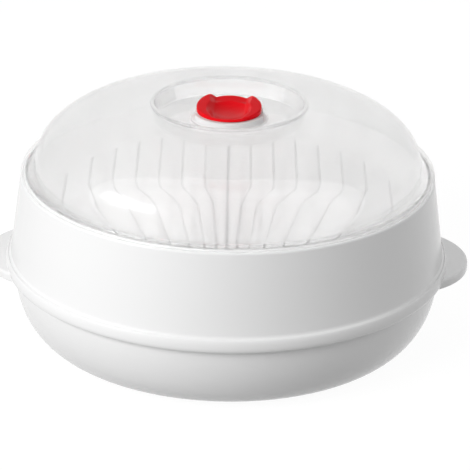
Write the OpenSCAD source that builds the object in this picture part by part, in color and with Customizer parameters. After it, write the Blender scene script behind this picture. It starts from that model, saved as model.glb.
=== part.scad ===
// Microwave steamer: a bowl for the water, a slotted steam tray with ears on its rim, a clear domed lid,
// and a red knob that turns to open or close the steam vent.
// Millimetres, +Z up. The origin is the centre of the face that it stands on, and the ears point along X.

/* [Bowl] */
// Outer radius of the bowl where its rounded side ends, just under the tray
bowl_r = 119.4; // [100:0.1:150]
// Height of the bowl, to the top of its rim
bowl_h = 47; // [36:0.5:80]
// Radius at which the rounded side meets the bottom
bowl_foot_r = 89.3; // [60:0.1:98]
// Fullness of the rounded side, where 2 is an ellipse
bowl_fullness = 2.16; // [1.8:0.01:3.5]
// Wall of the bowl
bowl_wall = 2.4; // [1.6:0.1:4]
// Width by which the rim flange stands out from the bowl
flange_w = 2.1; // [1:0.1:4]
// Thickness of the rim flange
flange_t = 2.4; // [1.5:0.1:3]
// Width of the ring on which the bowl stands
foot_ring_w = 7; // [3:0.5:15]
// Depth of the hollow inside that ring
foot_hollow = 0.8; // [0.4:0.1:1.5]

/* [Steam tray] */
// Height of the tray, from the foot of its band to the ledge under the lid
tray_h = 53.4; // [40:0.1:90]
// Depth by which the band covers the bowl's rim
band_overlap = 5.1; // [3.5:0.1:6]
// Height of the band
band_h = 7.3; // [6:0.1:14]
// Thickness of the band
band_t = 2.2; // [1.5:0.1:4]
// Width by which the band stands out from the wall above it
band_step = 2.5; // [1.8:0.1:2.6]
// Height of the flare that leads from the wall out to the band
flare_h = 2.4; // [1:0.1:5]
// Wall of the tray
tray_wall = 2.4; // [1.6:0.1:3]
// Amount by which the wall leans in, from the band to the ledge
wall_lean = 6.5; // [3:0.1:14]
// Depth of the deck under the ledge
deck_depth = 14.9; // [8:0.1:24]
// Thickness of the deck and of its sloping side
deck_t = 2.2; // [1.6:0.1:3]
// Width of the sloping side around the deck
dish_w = 10.8; // [8:0.1:20]
// Radius of the bend between the deck and its side
dish_bend = 6; // [2:0.5:8]
// Height of the lip inside the lid's rim
lip_h = 1.2; // [1:0.1:6]
// Width of the lip
lip_w = 2.4; // [1.6:0.1:4]

/* [Slots] */
// Number of slots on each side of the middle one
slots_each_side = 7; // [3:1:7]
// Distance between slots at the back
slot_pitch = 13.1; // [9:0.1:13.4]
// Width of a slot
slot_w = 1.6; // [1:0.1:2.4]
// Most that a slot bends towards the middle
slot_bend = 13; // [0:0.5:16]
// Length along the slot over which it bends
bend_len = 34; // [20:1:50]
// Share by which the slots close in from the bend to the front
slot_closing = 0.36; // [0:0.01:0.45]
// Distance between the end of a slot and the bend around the deck
slot_margin = 1; // [1:0.5:10]

/* [Ears] */
// Reach of an ear past the band
ear_reach = 11.9; // [8:0.1:25]
// Radius of an ear's round edge
ear_r = 42; // [30:0.1:60]
// Height of an ear's rim
ear_rim_h = 4.8; // [4:0.1:6]
// Depth of an ear's rim under the foot of the band
ear_drop = 1.5; // [0:0.1:2.6]
// Wall of an ear
ear_wall = 2.2; // [1.6:0.1:2.8]
// Rounding along an ear's top edge
ear_round = 1.4; // [0.4:0.1:1.8]

/* [Lid] */
// Wall of the lid
lid_wall = 1.5; // [1.2:0.1:2.6]
// Width of the flange between the rim and the dome
lid_flange_w = 7.1; // [4:0.1:12]
// Height of the dome over the flange
dome_h = 38.5; // [28:0.1:70]
// Fullness of the dome's side
dome_side = 3.14; // [2.4:0.01:4]
// Fullness of the dome's crown
dome_crown = 2.3; // [1.8:0.01:3]
// Radius of the well in the top, at its edge
well_r = 41.3; // [30:0.1:50]
// Depth of the well
well_depth = 9.6; // [8:0.1:14]
// Amount by which the well narrows towards its floor
well_draft = 1.6; // [0.4:0.1:3]
// Width of the raised edge around the well
well_edge_w = 2.2; // [1.6:0.1:4]
// Height of the boss around the vent
boss_h = 3.6; // [3:0.1:5]
// Width by which the boss stands out past the knob
boss_margin = 1.7; // [0.5:0.1:4]
// Width of each steam notch in the boss, and of the knob's window that opens to it
window_w = 12; // [6:0.5:16]

/* [Vent knob] */
// Radius of the knob
knob_r = 18; // [16:0.1:22]
// Height of the knob's front edge over its underside
knob_front_h = 1.6; // [1.2:0.1:3]
// Height of the lugs over the front edge
lug_h = 3.6; // [2:0.1:5]
// Radius of the finger dish
dish_r = 13.2; // [10:0.1:13.6]
// Depth of the finger dish
dish_depth = 2.8; // [2:0.1:3]
// Width of the gap between the lugs, at its floor
lug_gap = 17; // [12:0.1:20]
// Rounding along the outer top edge of the lugs
lug_round = 1; // [0.4:0.1:1.5]
// Angle at which the knob stands, turned from closed towards open
knob_turn = 5; // [0:1:30]
// Wall of the knob
knob_wall = 1.8; // [1.2:0.1:2.2]
// Height of the snap lip under the lid
snap_h = 1.5; // [1:0.1:3]
// Width by which the snap lip holds under the lid
snap_w = 0.9; // [0.5:0.1:1.5]
// Width of the slits that let the snap lip spring
slit_w = 1.6; // [1:0.1:3]

/* [Fits] */
// Clearance around a rim that another piece sits in
rim_gap = 0.4; // [0.2:0.05:0.8]
// Gap between the lid's rim and the tray's ledge
ledge_gap = 0.3; // [0.2:0.05:0.6]
// Running clearance around the knob's barrel
barrel_gap = 0.1; // [0.05:0.01:0.3]
// Gap between the lid and the faces of the knob that turn on it
knob_gap = 0.3; // [0.2:0.05:0.5]

/* [Hidden] */
$fn = 96;
edge = 0.5;     // small rounding on moulded edges

// Heights, from the ground up
floor_z = foot_hollow + bowl_wall;
band_z = bowl_h - band_overlap;
band_top_z = band_z + band_h;
ledge_z = band_z + tray_h;
deck_z = ledge_z - deck_depth;
lid_seat_z = ledge_z + lip_h;
lid_flange_z = lid_seat_z + lid_wall;
well_floor_z = lid_flange_z + dome_h - well_depth;
boss_z = well_floor_z + boss_h;
knob_z = boss_z + knob_gap;
front_z = knob_z + knob_front_h;
lug_z = front_z + lug_h;
snap_z = well_floor_z - lid_wall - knob_gap;

// Radii, from the bowl's rim inwards to the knob
flange_r = bowl_r + flange_w;
band_in_r = flange_r + rim_gap;
band_r = band_in_r + band_t;
wall_r = band_r - band_step;
ledge_r = wall_r - wall_lean;
skirt_in_r = ledge_r - lid_wall;
lip_r = skirt_in_r - rim_gap;
lip_in_r = lip_r - lip_w;
deck_r = lip_in_r - dish_w;
dome_r = ledge_r - lid_flange_w;
well_floor_r = well_r - well_draft;
boss_r = knob_r + boss_margin;
barrel_r = knob_r - knob_wall;
barrel_in_r = barrel_r - knob_wall;
bore_r = barrel_r + barrel_gap;

// Deck of the tray: slope of its side, and the centre of the bend at its foot
dish_slope = atan2(lid_seat_z - edge - deck_z, lip_in_r - deck_r);
bend_r = deck_r - dish_bend * tan(dish_slope / 2);
bend_c = [bend_r, deck_z + dish_bend];
slot_field_r = bend_r - slot_margin;

// Points of an arc around c, from angle a0 to angle a1
function arc(c, r, a0, a1, n = 6) =
    [for (i = [0:n]) let (a = a0 + (a1 - a0) * i / n) c + r * [cos(a), sin(a)]];

// Points of a rounded quarter curve, from p at its steep end to q at its flat end
function quarter(p, q, fullness_r, fullness_z, n = 32) =
    [for (i = [0:n]) let (a = 90 * i / n)
        [q[0] + (p[0] - q[0]) * pow(cos(a), 2 / fullness_r), p[1] + (q[1] - p[1]) * pow(sin(a), 2 / fullness_z)]];

function backwards(points) = [for (i = [len(points) - 1:-1:0]) points[i]];

// Side of the bowl, from the rim down to its foot, drawn in by the wall for the inside
function bowl_side(inset, z) =
    quarter([bowl_r - inset, band_z], [bowl_foot_r - inset, z], bowl_fullness, bowl_fullness);

module bowl() {
    ring_in_r = bowl_foot_r - foot_ring_w;
    under_z = bowl_h - flange_t;
    color("white") rotate_extrude() polygon(concat(
        [[0, foot_hollow], [ring_in_r, foot_hollow], [ring_in_r + foot_hollow, 0]],
        backwards(bowl_side(0, 0)),
        [[bowl_r, under_z - edge], [bowl_r + edge, under_z]],
        arc([flange_r - edge, under_z + edge], edge, -90, 0, 3),
        arc([flange_r - edge, bowl_h - edge], edge, 0, 90, 3),
        arc([bowl_r - bowl_wall + edge, bowl_h - edge], edge, 90, 180, 3),
        bowl_side(bowl_wall, floor_z),
        [[0, floor_z]]));
}

// How far slot i bends in, and its sideways place at distance y towards the back
function bend_of(i) = slot_bend * sin(180 * abs(i) / slots_each_side);
function eased(t) = let (s = min(max(t, 0), 1)) s * s * (3 - 2 * s);
function front_share(y) = max(0, (-y - bend_len / 2) / (slot_field_r - bend_len / 2));
function slot_x(i, y) =
    sign(i) * (abs(i) * slot_pitch - bend_of(i) * eased(0.5 - y / bend_len)) * (1 - slot_closing * front_share(y));

// Ends of slot i at the back and front of the field
function slot_back(i) = sqrt(pow(slot_field_r, 2) - pow(i * slot_pitch, 2));
function slot_front(i) = -sqrt(pow(slot_field_r, 2) - pow(abs(i) * slot_pitch - bend_of(i), 2));

// One side of slot i, s being 1 for its left side and -1 for its right, from front to back
function slot_side(i, s, n = 14) = [for (k = [0:n])
    let (y = slot_front(i) + (slot_back(i) - slot_front(i)) * k / n,
         slope = slot_x(i, y + 0.5) - slot_x(i, y - 0.5),
         across = [1, -slope] / sqrt(1 + slope * slope))
    [slot_x(i, y), y] - s * across * slot_w / 2];

module slot(i) {
    linear_extrude(deck_t * 3, center = true)
        polygon(concat(
            slot_side(i, 1),
            [[slot_x(i, slot_back(i)), slot_back(i) + slot_w / 2]],
            backwards(slot_side(i, -1)),
            [[slot_x(i, slot_front(i)), slot_front(i) - slot_w / 2]]));
}

// A thin half-round ear with a rim turned down along its edge, which leaves a hollow for the fingers under it
module ear() {
    under_z = band_z - ear_drop;
    top_z = under_z + ear_rim_h;
    difference() {
        translate([band_r + ear_reach - ear_r, 0, 0]) rotate_extrude() polygon(concat(
            [[0, top_z - ear_wall], [ear_r - ear_wall - edge, top_z - ear_wall],
             [ear_r - ear_wall, top_z - ear_wall - edge], [ear_r - ear_wall, under_z]],
            arc([ear_r - edge, under_z + edge], edge, -90, 0, 3),
            arc([ear_r - ear_round, top_z - ear_round], ear_round, 0, 90),
            [[0, top_z]]));
        translate([0, 0, under_z - 1]) cylinder(h = ear_rim_h + 2, r = band_in_r + band_t / 2);
    }
}

module steam_tray() {
    bead_w = 1.3;
    bead_z = band_z + band_h * 0.4;
    crease_r = band_r - bead_w;
    crease = 0.3;
    wall_in_r = wall_r - tray_wall;
    lean = wall_lean / (ledge_z - band_top_z);
    flare_w = crease_r - crease - wall_r + lean * flare_h;
    // Where the underside of the deck's side runs into the inside of the wall
    side_foot = bend_c + (dish_bend + deck_t) * [sin(dish_slope), -cos(dish_slope)];
    side_len = (wall_in_r - lean * (side_foot[1] - band_top_z) - side_foot[0])
        / (cos(dish_slope) + lean * sin(dish_slope));
    crotch = side_foot + side_len * [cos(dish_slope), sin(dish_slope)];
    color("white") difference() {
        union() {
            rotate_extrude() polygon(concat(
                [[0, deck_z - deck_t]],
                arc(bend_c, dish_bend + deck_t, -90, dish_slope - 90),
                [crotch - [cos(dish_slope), sin(dish_slope)], crotch - [-lean, 1],
                 [wall_in_r, band_top_z], [wall_in_r, bowl_h], [band_in_r, bowl_h]],
                [[band_in_r, band_z + edge], [band_in_r + edge, band_z]],
                // Round face of the band, a fine crease over it, and the flare that runs up into the wall
                [for (a = [-90:10:90]) [crease_r + bead_w * cos(a),
                    bead_z + (a < 0 ? bead_z - band_z : band_top_z - bead_z) * sin(a)]],
                [[crease_r - crease / 2, band_top_z - crease]],
                [for (a = [0:15:90]) [crease_r - crease - flare_w * sin(a), band_top_z + flare_h * (1 - cos(a))]],
                [[ledge_r + lean, ledge_z - 1], [ledge_r - 0.3, ledge_z - 0.3], [ledge_r - 1, ledge_z]],
                [[lip_r, ledge_z]],
                arc([lip_r - edge, lid_seat_z - edge], edge, 0, 90, 3),
                [[lip_in_r + edge, lid_seat_z], [lip_in_r, lid_seat_z - edge]],
                backwards(arc(bend_c, dish_bend, -90, dish_slope - 90)),
                [[0, deck_z]]));
            ear();
            mirror([1, 0, 0]) ear();
        }
        for (i = [-slots_each_side:slots_each_side]) translate([0, 0, deck_z - deck_t / 2]) slot(i);
    }
}

// Outline of the dome from its foot to the well, inwards by the wall for the inside
function dome_side_points(inset, to_r, n = 36) =
    let (R = dome_r - inset, z = lid_flange_z - inset, end = acos(pow(to_r / R, dome_side / 2)))
    [for (i = [0:n]) let (a = end * i / n)
        [R * pow(cos(a), 2 / dome_side), z + dome_h * pow(sin(a), 2 / dome_crown)]];

module lid() {
    well_top_z = lid_flange_z + dome_h;
    well_under_r = well_floor_r + lid_wall;
    edge_out_r = well_r + well_edge_w;
    round_r = 1;
    color("gainsboro", 0.5) difference() {
        rotate_extrude() polygon(concat(
            [[skirt_in_r, ledge_z + ledge_gap], [ledge_r - 0.3, ledge_z + ledge_gap],
             [ledge_r, ledge_z + ledge_gap + 0.3]],
            arc([ledge_r - round_r, lid_flange_z - round_r], round_r, 0, 90, 4),
            [[dome_r + edge, lid_flange_z]],
            dome_side_points(0, edge_out_r + edge),
            arc([edge_out_r - edge, well_top_z - edge], edge, 0, 90, 3),
            arc([well_r + edge, well_top_z - edge], edge, 90, 180, 3),
            arc([well_floor_r - round_r, well_floor_z + round_r], round_r, 0, -90, 4),
            [[boss_r + edge, well_floor_z], [boss_r, well_floor_z + edge]],
            arc([boss_r - edge, boss_z - edge], edge, 0, 90, 3),
            [[bore_r, boss_z], [bore_r, well_floor_z - lid_wall]],
            arc([well_under_r - round_r, well_floor_z - lid_wall + round_r], round_r, -90, 0, 4),
            backwards(dome_side_points(lid_wall, well_r + lid_wall + edge)),
            [[skirt_in_r, lid_seat_z]]));
        for (side = [0, 180]) rotate([0, 0, side])
            translate([0, -window_w / 2, well_floor_z + edge]) cube([boss_r + 1, window_w, boss_h]);
    }
}

module vent_knob() {
    dish_z = front_z - dish_depth;
    slope = atan2(lug_h, knob_r + dish_r);
    top_r = knob_r / cos(slope);
    color("crimson") rotate([0, 0, -knob_turn]) difference() {
        intersection() {
            rotate_extrude() polygon(concat(
                [[0, dish_z - knob_wall], [dish_r / 2, dish_z - knob_wall], [barrel_in_r, knob_z - edge],
                 [barrel_in_r, snap_z - snap_h], [barrel_r - edge, snap_z - snap_h],
                 [barrel_r + snap_w, snap_z - edge], [barrel_r + snap_w, snap_z], [barrel_r, snap_z],
                 [barrel_r, knob_z]],
                arc([knob_r - edge, knob_z + edge], edge, -90, 0, 3),
                [[knob_r, lug_z + 1], [dish_r, lug_z + 1]],
                quarter([dish_r, front_z], [dish_r / 2, dish_z], 2, 2, 12),
                [[0, dish_z]]));
            // The top slopes down from the tips of the lugs to the front edge, and is rounded over along its rim
            translate([0, -knob_r, front_z]) rotate([slope, 0, 0]) translate([0, top_r, 0])
                rotate_extrude() polygon(concat(
                    [[0, -2 * knob_r], [2 * knob_r, -2 * knob_r], [2 * knob_r, -lug_round - knob_r]],
                    arc([top_r - lug_round, -lug_round], lug_round, 0, 90),
                    [[0, 0]]));
        }
        // The gap between the lugs is flat and opens out upwards
        translate([0, 2 * knob_r, front_z]) rotate([90, 0, 0]) linear_extrude(2 * knob_r)
            polygon([[-lug_gap / 2, 0], [lug_gap / 2, 0],
                     [lug_gap / 2 + 2 * lug_h, 2 * lug_h], [-lug_gap / 2 - 2 * lug_h, 2 * lug_h]]);
        // Steam windows, which face the notches in the boss after a quarter turn
        translate([-window_w / 2, -barrel_r - 1, well_floor_z + edge])
            cube([window_w, 2 * barrel_r + 2, dish_z - knob_wall - well_floor_z - edge]);
        // Slits that let the snap lip spring as the knob is pressed in
        for (a = [45, 135]) rotate([0, 0, a])
            translate([-knob_r, -slit_w / 2, snap_z - snap_h - 1]) cube([2 * knob_r, slit_w, snap_h + lid_wall + 1]);
    }
}

bowl();
steam_tray();
lid();
vent_knob();
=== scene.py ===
# Microwave steamer on a white table: a bowl, a slotted steam tray with two ears, a frosted clear lid
# and a red vent knob. Metres, +Z up, with the ears along X and the camera in front, on the -Y side.
import math

import bmesh
import bpy
from mathutils import Euler, Matrix, Quaternion


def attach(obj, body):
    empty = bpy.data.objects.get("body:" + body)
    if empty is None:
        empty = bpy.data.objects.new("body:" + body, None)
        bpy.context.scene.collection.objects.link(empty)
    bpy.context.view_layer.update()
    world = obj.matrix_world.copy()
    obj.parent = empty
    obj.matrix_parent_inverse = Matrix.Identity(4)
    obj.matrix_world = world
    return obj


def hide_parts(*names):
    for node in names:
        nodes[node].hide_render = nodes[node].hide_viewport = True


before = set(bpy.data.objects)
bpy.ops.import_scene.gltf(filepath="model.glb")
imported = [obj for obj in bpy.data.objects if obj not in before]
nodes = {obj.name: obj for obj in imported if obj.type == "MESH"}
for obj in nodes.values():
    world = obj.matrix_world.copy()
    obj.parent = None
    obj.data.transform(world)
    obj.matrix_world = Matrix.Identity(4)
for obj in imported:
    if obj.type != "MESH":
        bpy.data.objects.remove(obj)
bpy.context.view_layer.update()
scene = bpy.context.scene

# Camera
# A long lens stands in front of the steamer and looks down on it by 23 degrees. It is tipped a little to
# one side, and the steamer's axis stands a few pixels left of the middle of the picture.
picture_width_px = 470
axis_px = 226.9
aim_height = 0.0564
camera_distance = 1.44
camera_elevation = math.radians(23.2)
camera_roll = math.radians(1.0)
lens_mm = 195.8
sensor_mm = 36

camera = bpy.data.objects.new("camera", bpy.data.cameras.new("camera"))
scene.collection.objects.link(camera)
camera.location = (0, -camera_distance * math.cos(camera_elevation),
                   aim_height + camera_distance * math.sin(camera_elevation))
camera.rotation_mode = "QUATERNION"
camera.rotation_quaternion = (Euler((math.pi / 2 - camera_elevation, 0, 0)).to_quaternion()
                              @ Quaternion((0, 0, 1), camera_roll))
camera.data.lens = lens_mm
camera.data.sensor_width = sensor_mm
camera.data.shift_x = 0.5 - axis_px / picture_width_px
scene.camera = camera

# Bowl
# The bowl for the water is one white polypropylene moulding, and the tray's band hides its rim. Its polished
# skin, like the tray's and the knob's, has slow waves from the mould and a fine grain.
wave_size = 0.05
grain_size = 0.0008


class Socket:
    """A value in a node tree. Sums, differences and products of values add their Math nodes."""

    def __init__(self, graph, output):
        self.graph = graph
        self.output = output

    def _math(self, operation, a, b):
        return self.graph.node("ShaderNodeMath", {"operation": operation}, {0: a, 1: b})

    def __add__(self, other):
        return self._math("ADD", self, other)

    __radd__ = __add__

    def __sub__(self, other):
        return self._math("SUBTRACT", self, other)

    def __rsub__(self, other):
        return self._math("SUBTRACT", other, self)

    def __mul__(self, other):
        return self._math("MULTIPLY", self, other)

    __rmul__ = __mul__

    def at_least(self, other):
        return self._math("MAXIMUM", self, other)


class Graph:
    """The node tree of a finish or of the room."""

    def __init__(self, owner):
        owner.use_nodes = True
        self.tree = owner.node_tree

    def node(self, kind, settings=None, values=None, output=0):
        """Adds a node with its settings, fills its sockets and gives one of its outputs."""
        new = self.tree.nodes.new(kind)
        for name, setting in (settings or {}).items():
            setattr(new, name, setting)
        self.fill(new, values or {})
        return Socket(self, new.outputs[output])

    def fill(self, node, values):
        """Sets or links sockets of a node."""
        for name, value in values.items():
            if isinstance(value, Socket):
                self.tree.links.new(value.output, node.inputs[name])
            else:
                node.inputs[name].default_value = value


class Finish(Graph):
    """One material. Its plain surface is shown unless another shader is given to show."""

    def __init__(self, name):
        self.material = bpy.data.materials.new(name)
        super().__init__(self.material)
        self.surface = self.tree.nodes["Principled BSDF"]
        self.plain = Socket(self, self.surface.outputs[0])

    def show(self, shader):
        """Puts another shader in the place of the plain surface."""
        self.fill(self.tree.nodes["Material Output"], {"Surface": shader})

    def noise(self, size, detail):
        """Noise with lumps of the given size, fixed to the piece."""
        place = self.node("ShaderNodeTexCoord", output="Object")
        return self.node("ShaderNodeTexNoise", {}, {"Vector": place, "Scale": 1 / size, "Detail": detail})

    def uneven(self, wave_depth, grain_depth):
        """Normals of a moulded skin, by the depths of its waves and of its grain."""
        waves = self.noise(wave_size, detail=0) * wave_depth
        height = waves + self.noise(grain_size, detail=2) * grain_depth
        return self.node("ShaderNodeBump", {}, {"Height": height, "Distance": 1.0, "Strength": 1.0})


white_plastic = Finish("white_plastic")
white_plastic.fill(white_plastic.surface, {
    "Base Color": (0.88, 0.88, 0.88, 1),
    "Roughness": 0.2,
    "Normal": white_plastic.uneven(wave_depth=0.00002, grain_depth=0.0000005),
})
nodes["bowl"].data.materials[0] = white_plastic.material

# Steam tray
# One moulding of the same white polypropylene: a band with two ears, a leaning wall, and a sunk deck with
# wavy slots. The band sits over the bowl's rim.
nodes["steam_tray"].data.materials[0] = white_plastic.material

# Lid
# A thin shell of frosted clear polypropylene with a polished skin. It rests on the tray's ledge. The plastic
# spreads what is seen through it, so it looks milky and the slots show faintly, but it lets most light in.
# It is whitest at the thick boss in its well, which hides the knob's barrel, and clearest at its rim.
wall_haze = 0.68
boss_haze = 0.95
rim_haze = 0.3
shadow_haze = 0.1
boss_r = 0.020
boss_fade_w = 0.002
boss_white = 0.7
rim_in_r = 0.1095
rim_fade_w = 0.0015

clear_plastic = Finish("clear_plastic")
lid_place = clear_plastic.node("ShaderNodeTexCoord", output="Object")
level_place = clear_plastic.node("ShaderNodeVectorMath", {"operation": "MULTIPLY"}, {
    0: lid_place, 1: (1, 1, 0)})
from_axis = clear_plastic.node("ShaderNodeVectorMath", {"operation": "LENGTH"}, {
    0: level_place}, output="Value")
boss = clear_plastic.node("ShaderNodeMapRange", {}, {
    "Value": from_axis, "From Min": boss_r + boss_fade_w, "From Max": boss_r})
rim = clear_plastic.node("ShaderNodeMapRange", {}, {
    "Value": from_axis, "From Min": rim_in_r, "From Max": rim_in_r + rim_fade_w})
haze = wall_haze + (boss_haze - wall_haze) * boss + (rim_haze - wall_haze) * rim
shadow = clear_plastic.node("ShaderNodeLightPath", output="Is Shadow Ray")
clear_plastic.fill(clear_plastic.surface, {
    "Base Color": (1, 1, 1, 1),
    "Roughness": 0.25,
    "IOR": 1.45,
    "Transmission Weight": 0.88,
    "Alpha": haze * (1 - shadow) + shadow_haze * shadow,
    "Coat Weight": 1.0,
    "Coat Roughness": 0.02,
})
boss_skin = clear_plastic.node("ShaderNodeBsdfDiffuse", {}, {"Color": (0.9, 0.9, 0.9, 1)})
clear_plastic.show(clear_plastic.node("ShaderNodeMixShader", {}, {
    0: boss_white * boss, 1: clear_plastic.plain, 2: boss_skin}))
nodes["lid"].data.materials[0] = clear_plastic.material

# Vent knob
# A glossy red polypropylene moulding that snaps into the lid's bore and turns in it. Two lugs stand over a
# finger dish, which is longer from front to back, and the top slopes down from the lugs to the front edge.
# It is a lathed shape whose top rings follow the dish and the lugs, with openings cut in its barrel.
red_plastic = Finish("red_plastic")
red_plastic.fill(red_plastic.surface, {
    "Base Color": (0.77, 0.006, 0.012, 1),
    "Roughness": 0.22,
    "Specular IOR Level": 0.034,
    "Normal": red_plastic.uneven(wave_depth=0.00001, grain_depth=0.0000005),
})

knob_turned = math.radians(-5)
knob_r = 0.018
knob_wall = 0.0018
rim_round = 0.0009
edge = 0.0005
# Points of the rounding under the knob's edge, inwards and upwards, as shares of the edge
edge_steps = ((0, 0.8), (0.3, 0.2), (1, 0))
under_z = 0.1308
front_h = 0.0016
front_z = under_z + front_h

lug_h = 0.0036
lug_tip_y = 0.0132
lug_slope = lug_h / (knob_r + lug_tip_y)
gap_half_w = 0.0085
gap_back_y = 0.0115
gap_rise = 0.22
lug_crease_w = 0.0003

dish_depth = 0.0028
dish_floor_z = front_z - dish_depth
dish_half_w = 0.0123
dish_half_l = 0.01405
dish_mid_y = -0.00255
dish_fullness = 3
dish_crease = 0.06

barrel_r = knob_r - knob_wall
barrel_in_r = barrel_r - knob_wall
ceiling_r = lug_tip_y / 2
ceiling_z = dish_floor_z - knob_wall
foot_z = 0.1236
snap_w = 0.0009
snap_r = barrel_r + snap_w
snap_h = 0.0015
snap_z = foot_z + snap_h

window_w = 0.012
window_z = 0.1274
window_h = ceiling_z - window_z
slit_w = 0.0016
slit_l = 0.04
slit_h = 0.002
slit_turns = (45, 135)
cut_past = 0.001

knob_sectors = 180
top_rings = 68
round_rings = 6
sharp_angle = math.radians(35)


def soft_least(a, b, width):
    """The lesser of two values, with the crease between them rounded over a width."""
    return (a + b - math.hypot(a - b, width)) / 2


def knob_top(x, y):
    """Height of the knob's top: the sloping lugs, the gap between them, and the dish sunk into both."""
    lugs = front_z + (y + knob_r) * lug_slope
    gap = front_z + gap_rise * max(0, y - gap_back_y) + max(0, abs(x) - gap_half_w)
    top = soft_least(lugs, gap, lug_crease_w)
    from_middle = math.hypot(x / dish_half_w, (y - dish_mid_y) / dish_half_l)
    sunk = -soft_least(from_middle ** dish_fullness - 1, 0, dish_crease)
    return top - (top - dish_floor_z) * min(sunk, 1)


def level_ring(radius, z):
    """The points of one level ring about the knob's axis."""
    turns = [2 * math.pi * n / knob_sectors for n in range(knob_sectors)]
    return [(radius * math.sin(turn), -radius * math.cos(turn), z) for turn in turns]


def top_ring(radius, drop):
    """The points of one ring that follows the knob's top and lies under it by a drop."""
    return [(x, y, knob_top(x, y) - drop) for x, y, _ in level_ring(radius, 0)]


def add_box(mesh, turn, size, middle_z):
    """Adds a box that stands across the knob's axis, turned about it by an angle in degrees."""
    place = Matrix.Translation((0, 0, middle_z)) @ Matrix.Rotation(math.radians(turn), 4, "Z")
    bmesh.ops.create_cube(mesh, size=1, matrix=place @ Matrix.Diagonal((*size, 1)))


rings = [top_ring((knob_r - rim_round) * n / top_rings, 0) for n in range(1, top_rings + 1)]
for n in range(1, round_rings + 1):
    lean = math.pi / 2 * n / round_rings
    rings.append(top_ring(knob_r - rim_round * (1 - math.sin(lean)), rim_round * (1 - math.cos(lean))))
under_edge = [(knob_r - inwards * edge, under_z + upwards * edge) for inwards, upwards in edge_steps]
snap_lip = [(snap_r, snap_z), (snap_r, snap_z - edge), (barrel_r - edge, foot_z)]
barrel_inside = [(barrel_in_r, foot_z), (barrel_in_r, under_z - edge), (ceiling_r, ceiling_z)]
for radius, z in [*under_edge, (barrel_r, under_z), (barrel_r, snap_z), *snap_lip, *barrel_inside]:
    rings.append(level_ring(radius, z))

shape = bmesh.new()
rows = [[shape.verts.new(point) for point in points] for points in rings]
top_middle = shape.verts.new((0, 0, knob_top(0, 0)))
ceiling_middle = shape.verts.new((0, 0, ceiling_z))
for n in range(knob_sectors):
    after = (n + 1) % knob_sectors
    shape.faces.new((top_middle, rows[0][n], rows[0][after]))
    shape.faces.new((ceiling_middle, rows[-1][after], rows[-1][n]))
    for inner, outer in zip(rows, rows[1:]):
        shape.faces.new((inner[n], outer[n], outer[after], inner[after]))
knob = bpy.data.objects.new("turning_knob", bpy.data.meshes.new("turning_knob"))
scene.collection.objects.link(knob)
shape.to_mesh(knob.data)
shape.free()

# The barrel has a steam window at its front and back, and two slits cross its snap lip
openings = bmesh.new()
add_box(openings, 0, (window_w, 2 * (barrel_r + cut_past), window_h), window_z + window_h / 2)
for turn in slit_turns:
    add_box(openings, turn, (slit_l, slit_w, slit_h + cut_past), foot_z + (slit_h - cut_past) / 2)
cutter = bpy.data.objects.new("barrel_openings", bpy.data.meshes.new("barrel_openings"))
scene.collection.objects.link(cutter)
openings.to_mesh(cutter.data)
openings.free()
cut = knob.modifiers.new("barrel_openings", "BOOLEAN")
cut.operation = "DIFFERENCE"
cut.object = cutter
cut.use_self = True
evaluated = knob.evaluated_get(bpy.context.evaluated_depsgraph_get())
cut_knob = bpy.data.meshes.new_from_object(evaluated)
knob.modifiers.clear()
knob.data = cut_knob
bpy.data.objects.remove(cutter)
knob.data.transform(Matrix.Rotation(knob_turned, 4, "Z"))
knob.data.shade_smooth()
knob.data.set_sharp_from_angle(angle=sharp_angle)
knob.data.materials.append(red_plastic.material)
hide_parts("vent_knob")
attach(knob, "knob")

# Table and light
# A white table in an evenly white room. Both look white where they are seen, mirrored or shown through the
# lid, but spread less light, and the table keeps the steamer's shadow. Softboxes around the steamer light
# it, and only one of them is mirrored in the plastic.
room_even = 0.22
table_size = 12
table_gap = 0.0005
table_glow = 0.945
lamp_distance = 1.5
lamp_aim_z = 0.08


def seen(graph):
    """1 for what is seen directly, mirrored or through the lid, and 0 for light that spreads."""
    kinds = [graph.node("ShaderNodeLightPath", output=kind)
             for kind in ("Is Camera Ray", "Is Glossy Ray", "Is Transmission Ray")]
    return kinds[0].at_least(kinds[1]).at_least(kinds[2])


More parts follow.
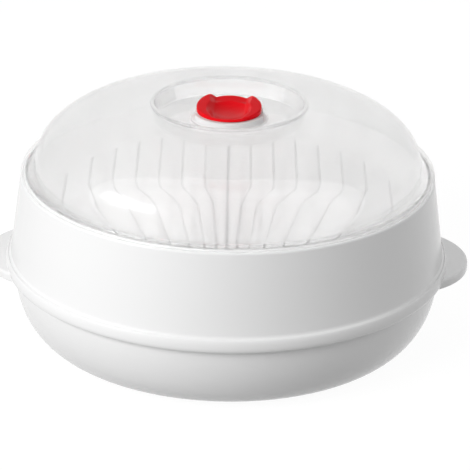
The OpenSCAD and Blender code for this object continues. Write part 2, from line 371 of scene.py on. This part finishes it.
def softbox(name, azimuth, elevation, power, size=(0.8, 0.8), mirrored=False):
    """A lamp that faces the steamer. Azimuth 0 is in front, and positive is to the right."""
    lamp = bpy.data.objects.new(name, bpy.data.lights.new(name, "AREA"))
    scene.collection.objects.link(lamp)
    turn = math.radians(azimuth)
    rise = math.radians(elevation)
    away = (math.sin(turn) * math.cos(rise), -math.cos(turn) * math.cos(rise), math.sin(rise))
    lamp.location = [lamp_distance * v + w for v, w in zip(away, (0, 0, lamp_aim_z))]
    lamp.rotation_euler = (math.pi / 2 - rise, 0, turn)
    lamp.data.shape = "RECTANGLE"
    lamp.data.size, lamp.data.size_y = size
    lamp.data.energy = power
    lamp.visible_glossy = mirrored
    lamp.visible_transmission = mirrored


scene.view_settings.view_transform = "Standard"

room = Graph(bpy.data.worlds.new("room"))
scene.world = bpy.data.worlds["room"]
strength = room.node("ShaderNodeMix", {"data_type": "FLOAT"}, {
    "Factor": seen(room), "A": room_even, "B": 1.0})
room.fill(room.tree.nodes["Background"], {"Color": (1, 1, 1, 1), "Strength": strength})

bpy.ops.mesh.primitive_plane_add(size=table_size, location=(0, 0, -table_gap))
table = bpy.context.object
table.name = "table"
table_white = Finish("table_white")
table_white.fill(table_white.surface, {
    "Base Color": (0.4, 0.4, 0.4, 1),
    "Roughness": 0.6,
    "Specular IOR Level": 0.0,
})
lit = table_white.node("ShaderNodeBsdfDiffuse", {}, {"Color": (0.1, 0.1, 0.1, 1)})
even = table_white.node("ShaderNodeEmission", {}, {"Color": (1, 1, 1, 1), "Strength": table_glow})
shadowed = table_white.node("ShaderNodeAddShader", {}, {0: lit, 1: even})
table_white.show(table_white.node("ShaderNodeMixShader", {}, {
    0: seen(table_white), 1: table_white.plain, 2: shadowed}))
table.data.materials.append(table_white.material)

softbox("key_mirrored", azimuth=-63, elevation=30, power=3.6, size=(0.9, 0.5), mirrored=True)
softbox("key", azimuth=-44, elevation=25, power=14)
softbox("front", azimuth=0, elevation=25, power=1)
softbox("right", azimuth=98, elevation=15, power=5)
softbox("rear", azimuth=180, elevation=45, power=2)
softbox("overhead", azimuth=0, elevation=80, power=2)
